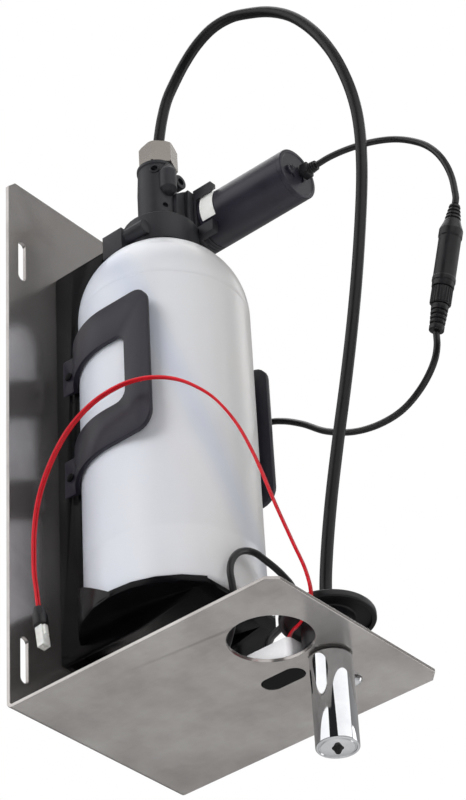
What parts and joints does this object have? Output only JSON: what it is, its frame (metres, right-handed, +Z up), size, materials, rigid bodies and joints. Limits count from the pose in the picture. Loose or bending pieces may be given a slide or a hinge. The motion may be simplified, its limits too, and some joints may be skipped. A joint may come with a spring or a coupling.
{
  "type": "automatic soap dispenser",
  "caption": "Under-shelf automatic soap dispenser: bent steel wall bracket with a caged soap bottle, motor gear pump, hose, spout and sensor window.",
  "frame": {"origin": "centre of the bracket's back face, which lies against the wall", "axes": "+Z up, +Y into the wall, so the shelf points along -Y; +X to the right of someone facing the wall"},
  "size_m": [0.1221, 0.2202, 0.4673],
  "materials": {
    "brushed_steel": "brushed stainless sheet",
    "chrome": "polished chrome plate",
    "nickel": "warm nickel plate",
    "zinc_steel": "zinc-plated steel",
    "copper": "copper winding and segments",
    "ferrite": "sintered ferrite",
    "cage_plastic": "gloss black moulding",
    "arm_plastic": "satin dark grey strap",
    "pump_plastic": "fine-grained black moulding",
    "motor_black": "satin black coat",
    "bottle_plastic": "translucent white polythene",
    "clear_plastic": "clear tube",
    "gear_plastic": "natural acetal",
    "rubber": "black rubber",
    "cable_black": "gloss black sheath",
    "wire_red": "red wire insulation",
    "white_nylon": "natural nylon",
    "housing_plastic": "pale grey moulding",
    "paper": "blank white label",
    "window_plastic": "infrared window, near black",
    "board_green": "green circuit board"
  },
  "bodies": {
    "dispenser": {"wall_bracket": "brushed_steel", "bottle_cage": "cage_plastic", "cage_arm_left": "arm_plastic", "cage_arm_right": "arm_plastic", "arm_rivet_left_lower": "arm_plastic", "arm_rivet_left_upper": "arm_plastic", "arm_rivet_right_lower": "arm_plastic", "arm_rivet_right_upper": "arm_plastic", "cage_screw_1": "zinc_steel", "cage_screw_2": "zinc_steel", "dip_tube": "clear_plastic", "pump_collar": "pump_plastic", "neck_gasket": "rubber", "pump_body": "pump_plastic", "hose_ferrule": "nickel", "gear_case": "pump_plastic", "driven_gear_pin": "zinc_steel", "gear_cover": "pump_plastic", "motor_clamp": "pump_plastic", "case_screw_1": "zinc_steel", "case_screw_2": "zinc_steel", "case_screw_3": "zinc_steel", "case_screw_4": "zinc_steel", "motor_can": "motor_black", "motor_end_cap": "motor_black", "motor_magnet_right": "ferrite", "motor_magnet_left": "ferrite", "rating_label": "paper", "motor_gland": "rubber", "spout_tube": "chrome", "spout_gasket": "rubber", "spout_nozzle": "rubber", "sensor_window": "window_plastic", "sensor_housing": "housing_plastic", "sensor_board": "board_green", "ir_emitter": "window_plastic", "ir_receiver": "window_plastic", "earth_screw": "chrome", "earth_nut": "zinc_steel", "soap_hose": "cable_black", "motor_lead": "cable_black", "sensor_lead": "cable_black", "red_wire_a": "wire_red", "red_wire_b": "wire_red", "lead_socket": "rubber", "lead_plug": "rubber", "wire_connector": "white_nylon", "wire_sleeve": "rubber"},
    "rotor": {"motor_shaft": "zinc_steel", "armature_core": "copper", "commutator": "copper", "drive_gear": "gear_plastic"},
    "driven_gear": {"driven_gear": "gear_plastic"},
    "inlet_ball": {"inlet_ball": "zinc_steel"},
    "fitting_nut": {"fitting_nut": "nickel"},
    "spout_nut": {"spout_nut": "rubber"},
    "coupling_nut": {"coupling_nut": "rubber"},
    "bottle": {"bottle": "bottle_plastic"}
  },
  "joints": [
    {"name": "motor_spin", "type": "hinge", "parent": "dispenser", "child": "rotor", "pos_m": [0.025, -0.09, 0.14084], "axis": [0, -1, 0], "continuous": true},
    {"name": "driven_gear_spin", "type": "hinge", "parent": "dispenser", "child": "driven_gear", "pos_m": [0.0146, -0.065, 0.14084], "axis": [0, -1, 0], "continuous": true},
    {"name": "inlet_ball_lift", "type": "slide", "parent": "dispenser", "child": "inlet_ball", "axis": [0, 0, 1], "range_m": [0, 0.0012]},
    {"name": "fitting_nut_turn", "type": "hinge", "parent": "dispenser", "child": "fitting_nut", "pos_m": [0.0004, -0.0544, 0.178], "axis": [0, 0, 1], "continuous": true},
    {"name": "spout_nut_turn", "type": "hinge", "parent": "dispenser", "child": "spout_nut", "pos_m": [0.0103, -0.13485, -0.148], "axis": [0, 0, 1], "continuous": true},
    {"name": "coupling_nut_turn", "type": "hinge", "parent": "dispenser", "child": "coupling_nut", "pos_m": [0.03, -0.20356, 0.02026], "axis": [0, 0.2741, -0.9617], "continuous": true},
    {"name": "bottle_turn", "type": "hinge", "parent": "dispenser", "child": "bottle", "pos_m": [0, -0.054, 0], "axis": [0, 0, 1], "continuous": true}
  ],
  "couplings": [
    {"joint": "driven_gear_spin", "follows": "motor_spin", "ratio": -1}
  ]
}
